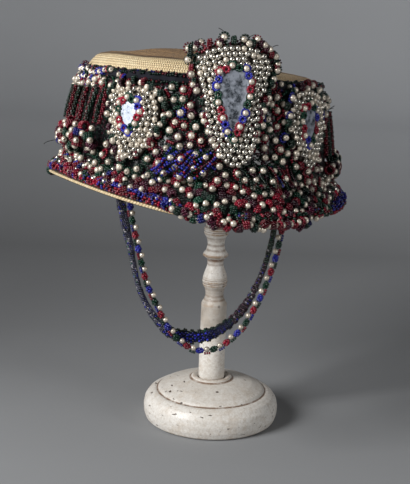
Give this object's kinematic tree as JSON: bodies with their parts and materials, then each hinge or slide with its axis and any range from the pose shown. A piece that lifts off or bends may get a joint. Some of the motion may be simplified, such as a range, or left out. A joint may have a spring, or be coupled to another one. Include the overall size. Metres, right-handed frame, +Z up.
{
  "type": "beaded straw hat on a turned hat stand",
  "caption": "Low oval straw hat covered with threaded beads and bead plates with mirrors, with two beaded chin straps, resting on a turned wooden hat stand.",
  "frame": {"origin": "on the floor, at the centre of the stand's foot", "axes": "+Z up along the stand's turned axis; the hat's front faces -Y, and +X is to the right of someone who faces the front"},
  "size_m": [0.2116, 0.2398, 0.298],
  "materials": {
    "white_paint": "white paint, worn and chipped, on turned wood",
    "straw_plait": "sewn straw plait",
    "bead_mix": "cream pearls and coloured seed beads on thread",
    "woven_band": "dark woven strip",
    "silver_beads": "silvered round beads",
    "mirror_glass": "old mirror glass",
    "seed_strands": "hanging strands of dark seed beads",
    "edge_loops": "loops of red and blue seed beads",
    "cream_pearls": "cream pearls with seed beads on thread",
    "netted_strap": "netting of dark seed beads"
  },
  "bodies": {
    "root": {"stand_base": "white_paint", "stand_stem": "white_paint", "straw_hat": "straw_plait", "crown_beadwork": "bead_mix", "top_band": "woven_band", "front_plate": "silver_beads", "left_plate": "silver_beads", "right_plate": "silver_beads", "front_mirror": "mirror_glass", "left_mirror": "mirror_glass", "right_mirror": "mirror_glass", "left_strands": "seed_strands", "right_strands": "seed_strands", "left_rosette": "bead_mix", "right_rosette": "bead_mix", "brim_beadwork": "bead_mix", "brim_edging": "edge_loops", "pearl_string": "cream_pearls", "ruffle_strap": "netted_strap"}
  },
  "joints": []
}
